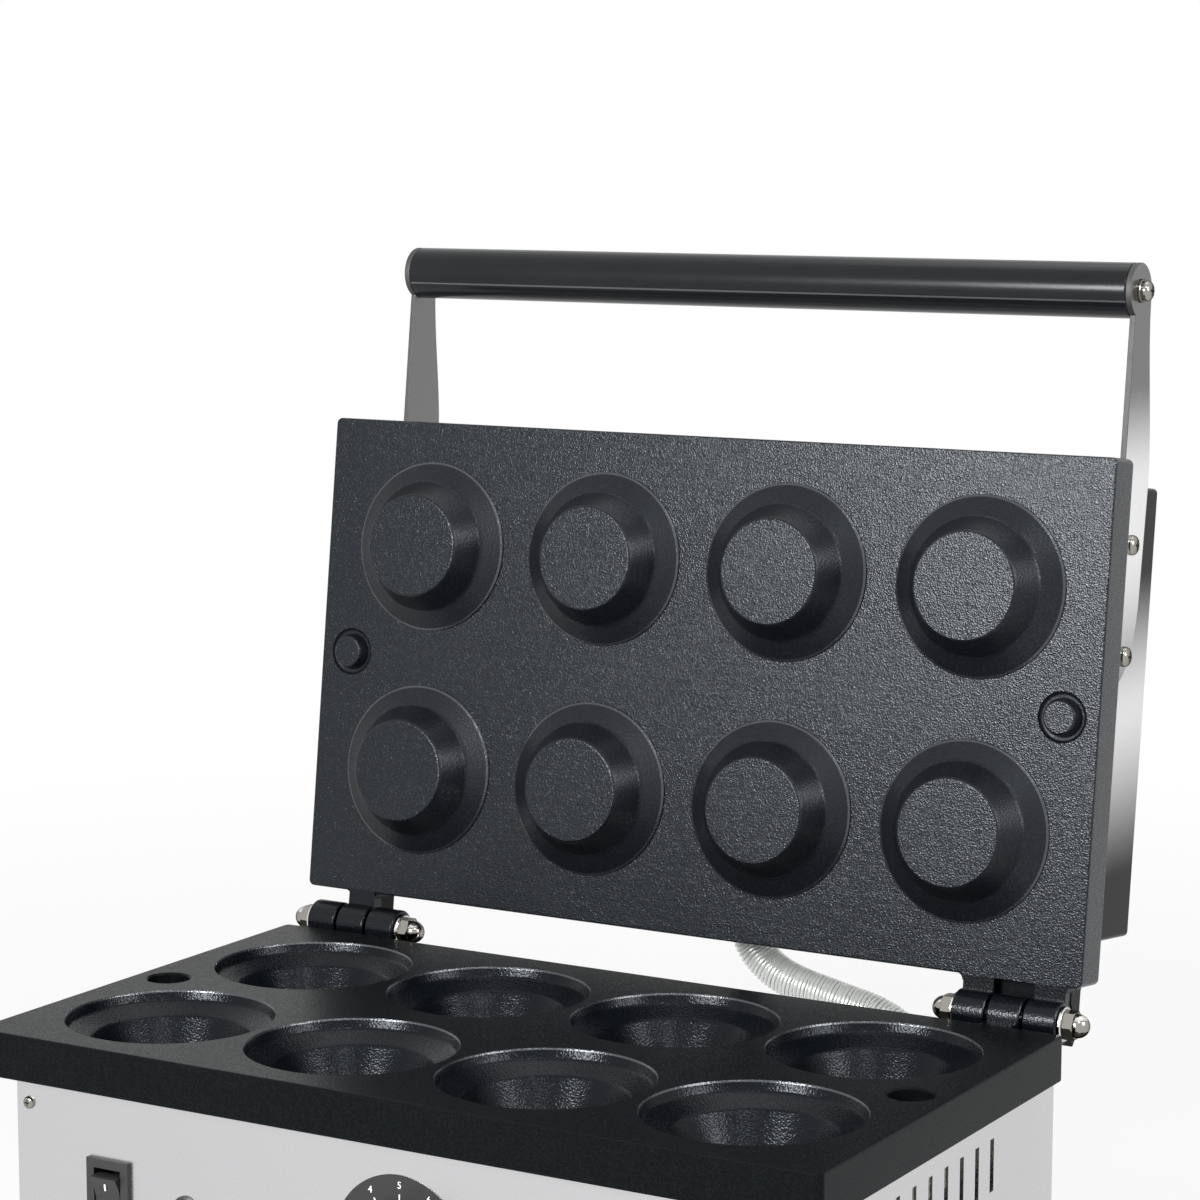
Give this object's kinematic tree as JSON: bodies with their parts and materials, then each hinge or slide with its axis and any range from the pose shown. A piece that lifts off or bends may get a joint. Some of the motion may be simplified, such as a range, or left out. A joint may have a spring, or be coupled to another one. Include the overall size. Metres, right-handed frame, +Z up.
{
  "type": "donut maker",
  "caption": "Countertop baking press: hinged cast plates with ring-edged plugs over matching cups, steel housing, side arms and a cross handle.",
  "frame": {"origin": "on the table, under the middle of the outline with the lid open", "axes": "+Z up, +X to the right of someone facing the controls, +Y towards the hinge and back"},
  "size_m": [0.4398, 0.3932, 0.4796],
  "materials": {
    "nonstick": "charcoal nonstick coat with a fine pebbled grain",
    "stainless": "satin stainless sheet",
    "arm_steel": "satin stainless plate",
    "zinc": "bright zinc plate",
    "conduit_steel": "bright sprung wire",
    "element_steel": "heat-darkened sheath",
    "shield_sheet": "aluminised sheet",
    "wool": "pale mineral wool",
    "nickel": "bright nickel plate",
    "handle_gloss": "gloss black",
    "black_plastic": "satin black",
    "dial_print": "satin black plate with white marks",
    "rubber": "matte black",
    "red_lens": "clear red lens",
    "green_lens": "clear green lens",
    "white_ceramic": "white ceramic",
    "brass": "plain brass"
  },
  "bodies": {
    "base": {"lower_plate": "nonstick", "base_housing": "stainless", "front_panel": "stainless", "floor_pan": "zinc", "rubber_feet": "rubber", "foot_screws": "zinc", "panel_screws": "nickel", "pan_screws": "zinc", "lower_plate_bolts": "zinc", "lower_element": "element_steel", "lower_clamp_bars": "zinc", "lower_wool_pad": "wool", "lower_heat_shield": "shield_sheet", "lower_clamp_screws": "zinc", "thermostat": "black_plastic", "sensor_bulb": "element_steel", "timer": "black_plastic", "thermostat_dial": "dial_print", "timer_dial": "dial_print", "switch_body": "black_plastic", "switch_pin": "zinc", "power_lamp": "red_lens", "heating_lamp": "green_lens", "terminal_block": "white_ceramic", "terminal_screw": "zinc", "earth_stud": "brass", "cable_gland": "black_plastic", "gland_nut": "black_plastic", "base_conduit_collar": "zinc", "conduit": "conduit_steel", "left_hinge_bolt": "nickel", "right_hinge_bolt": "nickel", "hinge_washers": "nickel", "acorn_nuts": "nickel"},
    "lid": {"upper_plate": "nonstick", "lid_cover": "stainless", "cover_standoffs": "zinc", "cover_screws": "nickel", "upper_element": "element_steel", "upper_clamp_bars": "zinc", "upper_wool_pad": "wool", "upper_heat_shield": "shield_sheet", "upper_clamp_screws": "zinc", "left_arm": "arm_steel", "right_arm": "arm_steel", "arm_screws": "nickel", "arm_nuts": "zinc", "handle_bar": "handle_gloss", "bar_plugs": "black_plastic", "handle_screws": "nickel", "handle_washers": "nickel", "lid_conduit_collar": "zinc"},
    "thermostat_control": {"thermostat_knob": "black_plastic", "thermostat_shaft": "zinc"},
    "timer_control": {"timer_knob": "black_plastic", "timer_shaft": "zinc"},
    "rocker": {"switch_rocker": "black_plastic"}
  },
  "joints": [
    {"name": "lid_hinge", "type": "hinge", "parent": "base", "child": "lid", "pos_m": [0, 0.07122, 0.14], "axis": [1, 0, 0], "range_deg": [0, 97], "deforming": ["conduit"]},
    {"name": "thermostat_turn", "type": "hinge", "parent": "base", "child": "thermostat_control", "pos_m": [0.118, -0.17658, 0.07035], "axis": [0, 1, 0], "range_deg": [0, 300]},
    {"name": "timer_turn", "type": "hinge", "parent": "base", "child": "timer_control", "pos_m": [0.01, -0.17658, 0.07035], "axis": [0, 1, 0], "range_deg": [0, 300]},
    {"name": "switch_rock", "type": "hinge", "parent": "base", "child": "rocker", "pos_m": [-0.145, -0.16998, 0.07035], "axis": [1, 0, 0], "range_deg": [-18, 0]}
  ]
}
